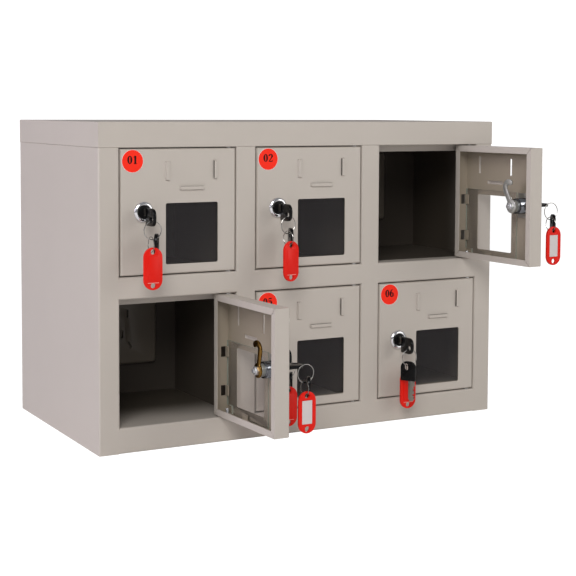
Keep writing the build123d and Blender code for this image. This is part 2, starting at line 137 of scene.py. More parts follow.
world = bpy.data.worlds.new("studio")
bpy.context.scene.world = world
world.use_nodes = True
sky = world.node_tree
sky.nodes.clear()
rays = node(sky, "LightPath")
direct = {0: rays.outputs["Is Camera Ray"], 1: rays.outputs["Is Transmission Ray"]}
seen = node(sky, "Math", direct, operation="MAXIMUM")
light = node(sky, "Background", {"Color": linear(SKY_TINT), "Strength": SKY_LIGHT})
white = node(sky, "Background", {"Color": (1, 1, 1, 1), "Strength": BACKDROP_LIGHT})
mixed = node(sky, "MixShader", {"Fac": seen.outputs[0], 1: light.outputs[0], 2: white.outputs[0]})
node(sky, "OutputWorld", {"Surface": mixed.outputs[0]})

floor_paint = bpy.data.materials.new("white_sweep")
floor_paint.use_nodes = True
tree = floor_paint.node_tree
tree.nodes.clear()
rays = node(tree, "LightPath")
matt = node(tree, "BsdfDiffuse", {"Color": linear(FLOOR_WHITE)})
glow = node(tree, "Emission", {"Color": (1, 1, 1, 1), "Strength": BACKDROP_LIGHT})
share = product(tree, rays.outputs["Is Camera Ray"], FLOOR_GLOW)
mixed = node(tree, "MixShader", {"Fac": share, 1: matt.outputs[0], 2: glow.outputs[0]})
node(tree, "OutputMaterial", {"Surface": mixed.outputs[0]})
bm = bmesh.new()
bmesh.ops.create_grid(bm, x_segments=1, y_segments=1, size=FLOOR_HALF)
floor_mesh = bpy.data.meshes.new("floor")
bm.to_mesh(floor_mesh)
bm.free()
floor = bpy.data.objects.new("floor", floor_mesh)
floor.data.materials.append(floor_paint)
bpy.context.scene.collection.objects.link(floor)


def lamp(name, at, aim, size, power, tint):
    """A square soft box at one point, facing another."""
    data = bpy.data.lights.new(name, "AREA")
    data.shape = "SQUARE"
    data.size = size
    data.energy = power
    data.color = linear(tint)[:3]
    made = bpy.data.objects.new(name, data)
    facing = (Vector(aim) - Vector(at)).to_track_quat("-Z", "Y").to_matrix()
    made.matrix_world = Matrix.Translation(at) @ facing.to_4x4()
    bpy.context.scene.collection.objects.link(made)


LAMP_AIM = (0, FRONT, 0.16)
lamp("key_lamp", (-1.3, FRONT - 2.0, 1.7), LAMP_AIM, 1.3, 40, "#FFFEFD")
lamp("fill_lamp", (1.7, FRONT - 1.9, 0.9), LAMP_AIM, 1.3, 14, "#FFFCF8")
lamp("side_lamp", (-2.3, FRONT + 0.3, 0.9), LAMP_AIM, 1.0, 22, "#F3EDFF")


# ---------------------------------------------------------------- cabinet sheets
# Folded and welded steel sheet with a warm grey powder coat, baked to a satin skin with a fine
# orange peel. The inner sheets, and the coat deeper inside the compartments, are painted darker as shade.
PAINT = "#BBB3AA"
# painted shade: dark colour for the faces inside the compartments
SHADE_PAINT_INSIDE = "#453E36"
# painted shade: darker colour for the inner faces of the door pans
DOOR_PAN_SHADE_PAINT = "#998E7E"
SHEET_HALF_MM = 0.5
MOUTH_MM = (6, 95)  # depths between which the painted shade inside the cabinet deepens
PEEL_MM, PEEL_HEIGHT_MM, PEEL_STRENGTH = 0.9, 0.02, 0.6
CLOUD_MM, CLOUD_GAINS = 70, (0.975, 1.02)
COAT_ROUGHNESS, INNER_ROUGHNESS, COAT_SPECULAR = 0.42, 0.6, 0.45
OUTER_SHEETS = (
    "side_panel_left", "side_panel_right", "base_panel", "mid_rail", "mullions", "top_cover", "back_panel",
)
INNER_SHEETS = ("rear_liner", "partitions", "shelves")


def surface(name):
    """A new material with its shader, as (material, tree, shader)."""
    made = bpy.data.materials.new(name)
    made.use_nodes = True
    shader = made.node_tree.nodes["Principled BSDF"]
    return made, made.node_tree, shader


def within(tree, axes, low, high):
    """One where a point lies between two corners, and nought elsewhere."""
    share = 1
    for axis, one, two in zip("XYZ", low, high):
        band = {0: axes.outputs[axis], 1: (one + two) / 2, 2: (two - one) / 2}
        inside = node(tree, "Math", band, operation="COMPARE")
        share = product(tree, share, inside.outputs[0])
    return share


def roughen(tree, shader, pattern_mm, height_mm, detail, strength):
    """Gives a shader a fine bump of noise, sized in millimetres on the real thing."""
    place = node(tree, "TexCoord")
    pattern = {"Vector": place.outputs["Object"], "Scale": 1 / (pattern_mm * MM), "Detail": detail}
    noise = node(tree, "TexNoise", pattern)
    relief = {"Height": noise.outputs["Fac"], "Distance": height_mm * MM, "Strength": strength}
    bump = node(tree, "Bump", relief)
    tree.links.new(bump.outputs["Normal"], shader.inputs["Normal"])


def coat(name, colour, roughness, painted_shade=None):
    """Powder coat, a little cloudy, with an orange-peel skin; the last argument gives where painted shade
    shows.
    """
    made, tree, shader = surface(name)
    place = node(tree, "TexCoord")
    pattern = {"Vector": place.outputs["Object"], "Scale": 1 / (CLOUD_MM * MM), "Detail": 2}
    cloud = node(tree, "TexNoise", pattern)
    tone = node(tree, "ValToRGB", {"Fac": cloud.outputs["Fac"]})
    base = linear(colour)
    for stop, gain in zip(tone.color_ramp.elements, CLOUD_GAINS):
        stop.color = [min(c * gain, 1) for c in base[:3]] + [1]
    skin = tone
    if painted_shade:
        share, inner = painted_shade(tree, place)
        skin = node(tree, "MixRGB", {"Fac": share, "Color1": tone.outputs["Color"], "Color2": inner})
    tree.links.new(skin.outputs["Color"], shader.inputs["Base Color"])
    roughen(tree, shader, PEEL_MM, PEEL_HEIGHT_MM, 1, PEEL_STRENGTH)
    shader.inputs["Roughness"].default_value = roughness
    shader.inputs["Specular IOR Level"].default_value = COAT_SPECULAR
    return made


def dress(name, material):
    """Gives a CAD piece its material."""
    piece = frame["nodes"][name]
    piece.data.materials.clear()
    piece.data.materials.append(material)
    return piece


def painted_shade_in_compartments(tree, place):
    """Share and colour of the painted shade on the sheets' inner faces, growing with depth from the front.
    """
    axes = node(tree, "SeparateXYZ", {"Vector": place.outputs["Object"]})
    skin = SHEET_HALF_MM * MM
    low = (cad_box[0][0] + skin, FRONT + skin, 0)
    high = (-low[0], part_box("rear_liner")[1][1], cad_box[1][2] - skin)
    inside = within(tree, axes, low, high)
    starts, ends = (FRONT + depth * MM for depth in MOUTH_MM)
    depth = {"Value": axes.outputs["Y"], "From Min": starts, "From Max": ends}
    grown = node(tree, "MapRange", depth, interpolation_type="SMOOTHSTEP")
    return product(tree, inside, grown.outputs["Result"]), linear(SHADE_PAINT_INSIDE)


# Painted shade: inside the compartments the coat is darkened with depth, and the inner sheets are dark.
grey_coat = coat("warm_grey_powder_coat", PAINT, COAT_ROUGHNESS, painted_shade_in_compartments)
inner_coat_painted_shade = coat("inner_powder_coat_painted_shade", SHADE_PAINT_INSIDE, INNER_ROUGHNESS)
for name in OUTER_SHEETS:
    dress(name, grey_coat)
for name in INNER_SHEETS:
    dress(name, inner_coat_painted_shade)


# ---------------------------------------------------------------- outlets and hinge pins
# Wall outlets are pressed urea plates, slightly glossy, their ivory painted dark as the shade inside
# the compartments. The pins are turned steel with a bright zinc plate. Both are copies of the model's
# pieces with their sharp edges rounded.
OUTLET_EDGE_MM, PIN_EDGE_MM = 0.8, 0.4
GRAIN_STRENGTH = 0.5
MERGE_MM, MADE_MERGE_MM = 0.002, 0.0005  # corners closer than this are one corner
LEVEL_DECIMALS = 4  # of a metre: two corners that agree to these are level with each other
SHARP_DEGREES = 35


def plain(name, colour, roughness, metallic=0.0, grain_mm=0.0, grain_height_mm=0.0, **more):
    """A material of one colour, with a fine moulded or rolled grain where it has one."""
    made, tree, shader = surface(name)
    shader.inputs["Base Color"].default_value = linear(colour)
    shader.inputs["Roughness"].default_value = roughness
    shader.inputs["Metallic"].default_value = metallic
    for socket, value in more.items():
        shader.inputs[socket.replace("_", " ")].default_value = value
    if grain_mm:
        roughen(tree, shader, grain_mm, grain_height_mm, 2, GRAIN_STRENGTH)
    return made


def span(shell):
    """Lowest and highest corners of a mesh."""
    low = Vector(min(v.co[i] for v in shell.verts) for i in range(3))
    high = Vector(max(v.co[i] for v in shell.verts) for i in range(3))
    return low, high


def shells_of(name):
    """The closed shells of a CAD piece, each as its own mesh with flat faces joined: the largest first,
    and like ones from left to right, then front to back and upwards."""
    whole = bmesh.new()
    whole.from_mesh(frame["nodes"][name].data)
    bmesh.ops.remove_doubles(whole, verts=whole.verts, dist=MERGE_MM * MM)
    whole.faces.ensure_lookup_table()
    waiting, groups = set(whole.faces), []
    while waiting:
        group, edge = set(), [waiting.pop()]
        while edge:
            face = edge.pop()
            group.add(face.index)
            for side in face.edges:
                for other in side.link_faces:
                    if other in waiting:
                        waiting.discard(other)
                        edge.append(other)
        groups.append(group)
    found = []
    for group in groups:
        shell = whole.copy()
        others = [f for f in shell.faces if f.index not in group]
        bmesh.ops.delete(shell, geom=others, context="FACES")
        corner = [round(c, LEVEL_DECIMALS) for c in span(shell)[0]]
        bmesh.ops.dissolve_limit(shell, angle_limit=radians(1), verts=shell.verts, edges=shell.edges)
        found.append((-len(group), corner, shell))
    whole.free()
    return [row[2] for row in sorted(found, key=lambda row: row[:2])]


def round_edges(shell, width_mm, segments=2):
    """Rounds the sharp edges of a mesh in metres. For a mesh in millimetres the width is divided by MM."""
    least = radians(SHARP_DEGREES)
    sharp = [e for e in shell.edges if len(e.link_faces) == 2 and e.calc_face_angle(0) > least]
    bmesh.ops.bevel(
        shell, geom=sharp, offset=width_mm * MM, segments=segments, profile=0.5,
        affect="EDGES", material=-1, clamp_overlap=True,
    )
    return shell


def add_piece(name, shape, material, body, slot, *nodes, place=None, smooth_below=SHARP_DEGREES):
    """Makes a finished piece of a mesh, moves it to its place and lets it ride on its body."""
    if place is not None:
        bmesh.ops.remove_doubles(shape, verts=shape.verts, dist=MADE_MERGE_MM)
        bmesh.ops.recalc_face_normals(shape, faces=shape.faces)
        shape.transform(place)
    mesh = bpy.data.meshes.new(name)
    shape.to_mesh(mesh)
    shape.free()
    mesh.polygons.foreach_set("use_smooth", [True] * len(mesh.polygons))
    mesh.set_sharp_from_angle(angle=radians(smooth_below))
    made = bpy.data.objects.new(name, mesh)
    bpy.context.scene.collection.objects.link(made)
    made.data.materials.append(material)
    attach(made, body)
    if nodes:
        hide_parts(*nodes)
    return made


# Painted shade: the ivory plates get a dark colour for the shade of the compartments they sit in.
ivory_darkened_as_shade = plain("ivory_urea_plate_darkened_as_shade", "#6E665B", 0.35, grain_mm=0.6, grain_height_mm=0.01)
zinc = plain("bright_zinc_plate", "#D2D3D4", 0.26, 0.75, grain_mm=0.8, grain_height_mm=0.01)
for number, shell in enumerate(shells_of("socket_outlets"), 1):
    shell = round_edges(shell, OUTLET_EDGE_MM)
    add_piece(f"outlet_{number}", shell, ivory_darkened_as_shade, "cabinet", "outlet_plastic", "socket_outlets")
for number, shell in enumerate(shells_of("hinge_pins"), 1):
    shell = round_edges(shell, PIN_EDGE_MM)
    add_piece(f"hinge_pin_{number:02d}", shell, zinc, "cabinet", "plated_steel", "hinge_pins")


# ---------------------------------------------------------------- doors and panes
# The door pans carry the same coat as the cabinet, painted darker on their inner faces as shade. Each
# pane is 2 mm clear acrylic: its faces hardly show, and its saw-cut edges are a frosted grey green that
# catches the light.
clear = plain("clear_acrylic", "#827E80", 0.04, Alpha=0.06, IOR=1.49)
cut_edge = plain("saw_cut_acrylic", "#A9B3A6", 0.45, Alpha=0.5, grain_mm=0.4, grain_height_mm=0.03)


def lock_place(mark):
    """A door's own axes at rest, in millimetres: origin on its face at the lock, x towards the hinges,
    y inwards."""
    joint = JOINTS[f"lock_{mark}_turn"]
    inward = -Vector(joint["axis"])
    up = Vector((0, 0, 1))
    across = inward.cross(up)
    axes = Matrix((across, inward, up)).transposed().to_4x4()
    return Matrix.Translation(joint["pos_m"]) @ axes @ Matrix.Scale(MM, 4)


PAN = ((-25.75, 0, -66.75), (107.25, 18, 66.25))  # a door pan's box in its lock's axes


def painted_shade_in_pan(mark):
    """Share and colour of the painted shade on the inner faces of one door pan."""
    at, turn, _ = lock_place(mark).decompose()

    def painted_shade(tree, place):
        axes_at = {"Location": at, "Rotation": turn.to_euler(), "Scale": (MM, MM, MM)}
        own = node(tree, "Mapping", {"Vector": place.outputs["Object"], **axes_at}, vector_type="TEXTURE")
        axes = node(tree, "SeparateXYZ", {"Vector": own.outputs["Vector"]})
        low, high = [c + SHEET_HALF_MM for c in PAN[0]], [c - SHEET_HALF_MM for c in PAN[1]]
        return within(tree, axes, low, high), linear(DOOR_PAN_SHADE_PAINT)

    return painted_shade


for mark in DOORS:
    door_coat = coat("powder_coat_of_door_" + mark, PAINT, COAT_ROUGHNESS, painted_shade_in_pan(mark))
    dress("door_panel_" + mark, door_coat)
    name, through = "door_window_" + mark, Vector(JOINTS[f"lock_{mark}_turn"]["axis"])
    pane = shells_of(name)[0]
    for face in pane.faces:
        face.material_index = int(abs(face.normal.dot(through)) < 0.5)  # 1 for the cut edges
    made = add_piece("pane_" + mark, pane, clear, "door_" + mark, "clear_pane", name)
    made.data.materials.append(cut_edge)


# ---------------------------------------------------------------- number labels
# A printed paper label on each door, 24 mm across: red, with a thin white edge and black numerals
# with thick uprights and thin turns.
LABEL_RADIUS, LABEL_EDGE, LABEL_THICK, PRINT_THICK, INK_THICK = 12.0, 0.2, 0.25, 0.02, 0.04
LABEL_FROM_LOCK = (-12.2, 53.4)  # across and up, from the lock to the label's middle
DIGIT_STEP, DIGIT_RISE = 6.1, 1.4
THIN, THICK = 0.75, 2.1  # pen widths of turns and uprights
PEN_SWELL = 1.4  # how late a turning stroke swells


def thicken(shape, depth):
    """Draws the flat faces of a mesh out along y."""
    risen = bmesh.ops.extrude_face_region(shape, geom=shape.faces[:])["geom"]
    moved = [v for v in risen if isinstance(v, bmesh.types.BMVert)]
    bmesh.ops.translate(shape, verts=moved, vec=(0, depth, 0))


def disc(radius, near, far, segments=48):
    """A flat round plate between two depths, its axis along y."""
    shape = bmesh.new()
    bmesh.ops.create_circle(shape, cap_ends=True, segments=segments, radius=radius)
    bmesh.ops.rotate(shape, verts=shape.verts, matrix=Matrix.Rotation(pi / 2, 3, "X"))
    bmesh.ops.translate(shape, verts=shape.verts, vec=(0, near, 0))
    thicken(shape, far - near)
    return shape


def turn_stroke(x, z, wide, high, first, last, steps=18):
    """Points of an elliptic pen stroke, thick where it runs upright and thin where it lies flat."""
    points = []
    for i in range(steps + 1):
        a = radians(first + (last - first) * i / steps)
        pen = THIN + (THICK - THIN) * abs(cos(a)) ** PEN_SWELL
        points.append((x + wide * cos(a), z + high * sin(a), pen))
    return points


# Each figure as strokes of (across, up, pen width), from the middle of the figure, in millimetres.
STROKES = {
    "0": [turn_stroke(0, 0, 1.75, 3.9, 0, 360)],
    "1": [
        [(0, -4.2, THICK), (0, 4.1, THICK)],
        [(-1.9, -4.0, 0.6), (1.9, -4.0, 0.6)],
        [(-1.9, 2.6, 0.6), (0, 3.9, 0.9)],
    ],
    "2": [
        turn_stroke(0, 1.9, 1.75, 2.1, 175, -25),
        [(1.6, 1.0, 1.5), (-1.7, -3.4, 0.7)],
        [(-2.1, -3.7, 1.1), (2.1, -3.7, 1.1)],
        [(2.1, -3.9, 0.5), (2.4, -2.2, 0.5)],
    ],
    "3": [turn_stroke(-0.3, 2.1, 1.6, 1.95, 150, -90), turn_stroke(-0.3, -1.95, 1.85, 2.1, 90, -150)],
    "4": [
        [(0.7, 4.1, 0.6), (-2.3, -1.3, 0.6)],
        [(-2.5, -1.5, 0.9), (2.3, -1.5, 0.9)],
        [(0.8, 4.1, THICK), (0.8, -4.1, THICK)],
        [(-0.6, -4.0, 0.6), (2.2, -4.0, 0.6)],
    ],
    "5": [
        [(-1.6, 3.6, 1.2), (1.9, 3.6, 1.2)],
        [(-1.6, 4.0, 0.5), (-1.8, 0.4, 0.5)],
        turn_stroke(-0.2, -1.5, 1.8, 2.55, 135, -150),
    ],
    "6": [turn_stroke(0, -1.75, 1.75, 2.3, 0, 360), turn_stroke(0.9, -0.6, 2.65, 4.6, 78, 190)],
}


def pen_stroke(shape, points, shift, near):
    """Adds one ribbon of ink to a mesh, in the plane of the label."""
    rails = []
    for i, (x, z, width) in enumerate(points):
        before, after = points[max(i - 1, 0)], points[min(i + 1, len(points) - 1)]
        along = Vector((after[0] - before[0], 0, after[1] - before[1])).normalized()
        side = Vector((along.z, 0, -along.x)) * width / 2
        middle = Vector((x + shift[0], near, z + shift[1]))
        rails.append([shape.verts.new(middle + side), shape.verts.new(middle - side)])
    for one, two in zip(rails, rails[1:]):
        shape.faces.new((one[0], one[1], two[1], two[0]))


paper = plain("white_paper", "#F4F2F0", 0.7, grain_mm=0.7, grain_height_mm=0.01)
red_print = plain(
    "red_gloss_print", "#F92E1A", 0.5, grain_mm=0.7, grain_height_mm=0.005, Specular_IOR_Level=0.15,
)
ink = plain("black_ink", "#050202", 0.6, Specular_IOR_Level=0.2)
for mark in DOORS:
    body, place = "door_" + mark, lock_place(mark)
    at = place @ Matrix.Translation((LABEL_FROM_LOCK[0], 0, LABEL_FROM_LOCK[1]))
    sheet = disc(LABEL_RADIUS, 0, -LABEL_THICK)
    add_piece("label_paper_" + mark, sheet, paper, body, "cabinet_paint", place=at)
    face = -LABEL_THICK - PRINT_THICK
    print_area = disc(LABEL_RADIUS - LABEL_EDGE, 0, face)
    add_piece("label_red_" + mark, print_area, red_print, body, "cabinet_paint", place=at)
    digits = bmesh.new()
    for i, figure in enumerate(mark):
        shift = ((i - 0.5) * DIGIT_STEP, DIGIT_RISE)
        for stroke in STROKES[figure]:
            pen_stroke(digits, stroke, shift, face - INK_THICK)
    add_piece("label_number_" + mark, digits, ink, body, "cabinet_paint", place=at)


# ---------------------------------------------------------------- cam locks
# A die-cast cam lock: a polished chrome housing whose dished flange shows on the door, a spring clip
# behind the sheet, a plug that is black in front and bare zinc behind, and a hooked cam held by a nut.
# One cam is passivated yellow, the others satin zinc.
FLANGE_RADIUS, MOUTH_RADIUS = 11.0, 7.0
LOCK_EDGE_MM, CAM_EDGE_MM, NUT_EDGE_MM, PLUG_BEVEL = 0.35, 0.8, 0.2, 0.5
YELLOW_CAM = "04"

chrome = plain("polished_chrome", "#E6E6E8", 0.09, 1.0)
black_casting = plain(
    "blackened_casting", "#040405", 0.4, grain_mm=0.6, grain_height_mm=0.02, Specular_IOR_Level=0.2,
)
dark_nickel = plain("black_nickel_casting", "#85878C", 0.16, 0.9, grain_mm=0.8, grain_height_mm=0.01)
black = plain(
    "moulded_black_nylon_and_keyway_shade", "#030304", 0.26, grain_mm=0.5, grain_height_mm=0.02, Specular_IOR_Level=0.22,
)
clip_steel = plain("dull_spring_steel", "#A5A199", 0.45, 0.6, grain_mm=0.9, grain_height_mm=0.02)
cast_zinc = plain("satin_cast_zinc", "#B9B9B3", 0.4, 0.7, grain_mm=0.7, grain_height_mm=0.02)
yellow_zinc = plain("yellow_passivated_zinc", "#8C6A34", 0.24, 1.0, grain_mm=0.9, grain_height_mm=0.01)


def turned(profile, segments=48):
    """A closed ring turned about the y axis from its (radius, y) section."""
    shape = bmesh.new()
    corners = [shape.verts.new((r, y, 0)) for r, y in profile]
    for one, two in zip(corners, corners[1:] + corners[:1]):
        shape.edges.new((one, two))
    bmesh.ops.spin(
        shape, geom=shape.verts[:] + shape.edges[:], cent=(0, 0, 0), axis=(0, 1, 0),
        angle=2 * pi, steps=segments, use_merge=True,
    )
    return shape


FLANGE_SECTION = [
    (MOUTH_RADIUS, 0), (MOUTH_RADIUS, -2.4), (MOUTH_RADIUS + 0.4, -3.1), (MOUTH_RADIUS + 1.0, -3.35),
    (9.2, -3.0), (10.3, -2.4), (FLANGE_RADIUS, -1.5), (FLANGE_RADIUS, 0),
]
CLIP_WIDE, CLIP_HIGH, CLIP_NEAR, CLIP_FAR = 24.0, 28.0, 1.05, 3.0
BARREL_RADIUS, BARREL_START, BARREL_END = 9.0, 0.2, 17.5
THREAD_START, THREAD_PITCH, THREAD_DEPTH, BORE_PLAY = 0.4, 1.25, 0.45, 0.1
PLUG_RADIUS, PLUG_FACE, PLUG_NECK, PLUG_END = 6.8, -3.4, 16.0, 21.4
KEYWAY_WIDE, KEYWAY_HIGH, KEYWAY_LIFT = 2.2, 7.8, (0.02, 0.01)
CAM_NEAR, CAM_FAR, HUB_RADIUS, ARM_HALF = 21.75, 24.0, 7.8, 3.3
HUB_START, HUB_END = 84, 396  # the part of the hub's rim that the arm leaves free, in degrees
HOOK_START, HOOK_END, HOOK_MIDDLE, HOOK_RADIUS = -32, 112, (4.8, 20.9), 6.4
NUT_NEAR, NUT_FAR, NUT_RADIUS = 24.0, 27.0, 4.75
BOLT_RADIUS, BOLT_START, BOLT_END = 2.6, 26.5, 29.0
FLIPPED_CAMS = {"04": -18}  # turned over, and by how many degrees on its square


def oblong(width, height):
    """Corners of an upright rectangle round the origin."""
    x, z = width / 2, height / 2
    return [(-x, -z), (x, -z), (x, z), (-x, z)]


def plate(outline, near, far):
    """A flat plate between two depths, from the corners of its outline."""
    shape = bmesh.new()
    shape.faces.new([shape.verts.new((x, near, z)) for x, z in outline])
    thicken(shape, far - near)
    bmesh.ops.recalc_face_normals(shape, faces=shape.faces)
    return shape


def sweep(middle, radius, first, last, steps):
    """Points along an arc, in degrees from x towards z."""
    turns = [radians(first + (last - first) * i / steps) for i in range(steps + 1)]
    return [(middle[0] + radius * cos(a), middle[1] + radius * sin(a)) for a in turns]


def cam_outline(side, lean):
    """Round hub, an arm that leans out, and a hook that turns back over the lock."""
    outer = sweep(HOOK_MIDDLE, HOOK_RADIUS + ARM_HALF, HOOK_START, HOOK_END, 20)
    end = sweep(HOOK_MIDDLE, HOOK_RADIUS, HOOK_START, HOOK_END, 1)[-1]
    tip = sweep(end, ARM_HALF, HOOK_END, HOOK_END + 180, 8)[1:-1]
    inner = sweep(HOOK_MIDDLE, HOOK_RADIUS - ARM_HALF, HOOK_END, HOOK_START, 16)
    hub = sweep((0, 0), HUB_RADIUS, HUB_START, HUB_END, 30)
    c, s = cos(radians(lean)), sin(radians(lean))
    return [(side * x * c - z * s, side * x * s + z * c) for x, z in outer + tip + inner + hub]


def threaded(radius, near, far):
    """A turned barrel with thread ridges along its length."""
    bore, root = PLUG_RADIUS + BORE_PLAY, radius - THREAD_DEPTH
    profile, y = [(bore, near), (root, near)], near + THREAD_START
    while y < far - THREAD_PITCH:
        profile += [(root, y), (radius, y + THREAD_PITCH / 2)]
        y += THREAD_PITCH
    return turned(profile + [(root, far), (bore, far)], 40)


def plug_with_keyway(turned_by):
    """The plug with a bevelled face, and its keyway as a very flat dark plate on it: painted shade of the
    slot.
    """
    shape = disc(PLUG_RADIUS, PLUG_FACE, PLUG_NECK)
    front = min(shape.faces, key=lambda f: f.calc_center_median().y)
    bmesh.ops.bevel(
        shape, geom=list(front.edges), offset=PLUG_BEVEL, segments=3, profile=0.5,
        affect="EDGES", material=-1,
    )
    near, far = (PLUG_FACE - lift for lift in KEYWAY_LIFT)
    slot = plate(oblong(KEYWAY_WIDE, KEYWAY_HIGH), near, far)
    bmesh.ops.rotate(slot, verts=slot.verts, matrix=Matrix.Rotation(turned_by, 3, "Y"))
    return shape, slot


for mark in DOORS:
    place, door = lock_place(mark), "door_" + mark
    housing, plug = "lock_housing_" + mark, "lock_plug_" + mark
    add_piece(
        "lock_flange_" + mark, turned(FLANGE_SECTION), chrome, door, "lock_chrome", housing,
        place=place, smooth_below=50,
    )
    clip = round_edges(plate(oblong(CLIP_WIDE, CLIP_HIGH), CLIP_NEAR, CLIP_FAR), LOCK_EDGE_MM / MM)
    add_piece("lock_clip_" + mark, clip, clip_steel, door, "plated_steel", housing, place=place)
    barrel = threaded(BARREL_RADIUS, BARREL_START, BARREL_END)
    add_piece("lock_barrel_" + mark, barrel, dark_nickel, door, "lock_chrome", housing, place=place)
    body, slot = plug_with_keyway(0 if mark in CLOSED else pi / 2)
    add_piece("lock_core_" + mark, body, black_casting, "lock_" + mark, "plated_steel", plug, place=place)
    # The keyway plate is painted shade: a dark plate where the slot's hollow would be.
    add_piece("lock_keyway_" + mark, slot, black, "lock_" + mark, "plated_steel", plug, place=place)
    neck = round_edges(disc(PLUG_RADIUS, PLUG_NECK, PLUG_END), LOCK_EDGE_MM / MM)
    add_piece("lock_neck_" + mark, neck, cast_zinc, "lock_" + mark, "plated_steel", plug, place=place)
    side, lean = (-1, FLIPPED_CAMS[mark]) if mark in FLIPPED_CAMS else (1, 0)
    cam = round_edges(plate(cam_outline(side, lean), CAM_NEAR, CAM_FAR), CAM_EDGE_MM / MM)
    cam_finish = yellow_zinc if mark == YELLOW_CAM else cast_zinc
    add_piece("lock_cam_" + mark, cam, cam_finish, "lock_" + mark, "plated_steel", plug, place=place)
    hexagon = sweep((0, 0), NUT_RADIUS, 0, 300, 5)
    nut = round_edges(plate(hexagon, NUT_NEAR, NUT_FAR), NUT_EDGE_MM / MM)
    add_piece("lock_nut_" + mark, nut, zinc, "lock_" + mark, "plated_steel", plug, place=place)
    bolt = round_edges(disc(BOLT_RADIUS, BOLT_START, BOLT_END, 24), LOCK_EDGE_MM / MM)
    add_piece("lock_bolt_" + mark, bolt, zinc, "lock_" + mark, "plated_steel", plug, place=place)


# ---------------------------------------------------------------- welded joints
# The rails and uprights are butted against rounded folds and welded. The groove that a fold leaves is
# filled, ground flush and painted over, so the joint hardly shows.
FOLD_RADIUS = 2.0
WELD_SHORT = 1.2  # each weld stops this far from the next fold
UPRIGHT_WIDE, UPRIGHT_STARTS, STOP_DROP = 23.75, (-91.5, 67.75), 8.0
GROOVE = [(0, 0)] + sweep((FOLD_RADIUS, FOLD_RADIUS), FOLD_RADIUS, 270, 180, 8)


def weld(name, corner, into_fold, along, length):
    """A filled groove from a corner in millimetres, beside a fold."""
    start = [c * MM for c in corner]
    start[1] = FRONT
    axes = Matrix((into_fold, along, (0, 1, 0))).transposed().to_4x4()
    place = Matrix.Translation(start) @ axes @ Matrix.Scale(MM, 4)
    fill = plate(GROOVE, WELD_SHORT, length - WELD_SHORT)
    add_piece(name, fill, grey_coat, "cabinet", "cabinet_paint", place=place)


rail = [[c / MM for c in corner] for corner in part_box("mid_rail")]
foot_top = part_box("base_panel")[1][2] / MM
for label, low, high in (("mid", rail[0][2] + STOP_DROP, rail[1][2]), ("foot", 0, foot_top)):
    weld(f"weld_{label}_rail_left", (rail[0][0], 0, low), (-1, 0, 0), (0, 0, 1), high - low)
    weld(f"weld_{label}_rail_right", (rail[1][0], 0, high), (1, 0, 0), (0, 0, -1), high - low)
for number, x in enumerate(UPRIGHT_STARTS, 1):
    under = (x, 0, rail[0][2] + STOP_DROP)
    weld(f"weld_upright_{number}_under_rail", under, (0, 0, 1), (1, 0, 0), UPRIGHT_WIDE)
    for label, z in (("mid", rail[1][2]), ("foot", foot_top)):
        name, corner = f"weld_upright_{number}_on_{label}_rail", (x + UPRIGHT_WIDE, 0, z)
        weld(name, corner, (0, 0, -1), (-1, 0, 0), UPRIGHT_WIDE)


# ---------------------------------------------------------------- keys, rings and tags
# Nickel silver keys with moulded black heads, the spare ones with their cuts showing. They hang on
# split rings of nickel-plated wire with a smaller ring linked in. The tags are moulded red plastic,
# with a white card in a recess on one side and a raised panel on the other.
KEY_EDGE_MM, BLADE_EDGE_MM, CUT_EDGE_MM = 0.9, 0.2, 0.15
TAG_EDGE_MM, PANEL_EDGE_MM = 0.7, 0.3
CARD = (12.1, 24.6, 0.3)  # width, height and thickness
CARD_DEEP = 0.5  # bottom of the recess, from the tag's middle plane
PANEL = (13.6, 27.5, 1.65)  # raised panel on the plain side: width, height, and face from the middle plane
CARD_CORNER, PANEL_CORNER, FLAP_CORNER = 0.6, 2.5, 0.2
FLAP_EDGE = (12.4, 0.55, -14.6)  # free edge of the panel's flap, a pale strip of painted highlight: width, height and place
FLAP_BELOW = 0.1  # from the panel's face down to the flap's
BLADE_HALF, CUTS_FROM, CUT_PITCH = (3.8, 11.5, 1.0), -7.2, 2.9
POINT_BACK, POINT_FRONT, POINT_FLAT = (1.6, 3), (0.8, 2), 2.4  # the blade's blunt point
CUT_DEPTHS = (1.5, 2.6, 1.1, 2.3, 1.8)  # from the point up
CUT_HALF_OPEN, CUT_HALF_FLAT = 1.3, 0.4  # of a cut, at the blade's edge and at its bottom
TURNED_TAGS = ("06",)  # hang with the plain side out
TURNED_BLADES = ("05",)  # hang with the cuts in the other edge
LARGE_RING, SMALL_RING, TURN_PITCH = (9.6, 0.46, 0.22), (8.0, 0.4, 0.2), 0.42

nickel = plain("nickel_plated_wire", "#A8A6A2", 0.2, 1.0, grain_mm=0.6, grain_height_mm=0.004)
steel = plain("nickel_silver_blade", "#97938A", 0.3, 1.0, grain_mm=0.9, grain_height_mm=0.02)
red = plain(
    "moulded_red_plastic", "#DE1A0C", 0.32, grain_mm=0.9, grain_height_mm=0.01, Specular_IOR_Level=0.2,
)
# Painted highlight: the flap's free edge is a pale pink strip where light would catch it.
flap_edge_highlight = plain("red_edge_painted_highlight", "#EE9C92", 0.5, grain_mm=0.4, grain_height_mm=0.02)
card_paper = plain("white_card_under_film", "#CFC8C6", 0.22, grain_mm=0.7, grain_height_mm=0.01)


def fob_place(mark):
    """A fob's own axes at rest, in millimetres: origin at the large ring's middle, y through the ring."""
    joint = JOINTS[f"fob_{mark}_swing"]
    across, up = Vector(joint["axis"]), Vector((0, 0, 1))
    axes = Matrix((across, up.cross(across), up)).transposed().to_4x4()
    middle = Vector(joint["pos_m"]) - up * LARGE_RING[0] * MM
    return Matrix.Translation(middle) @ axes @ Matrix.Scale(MM, 4)


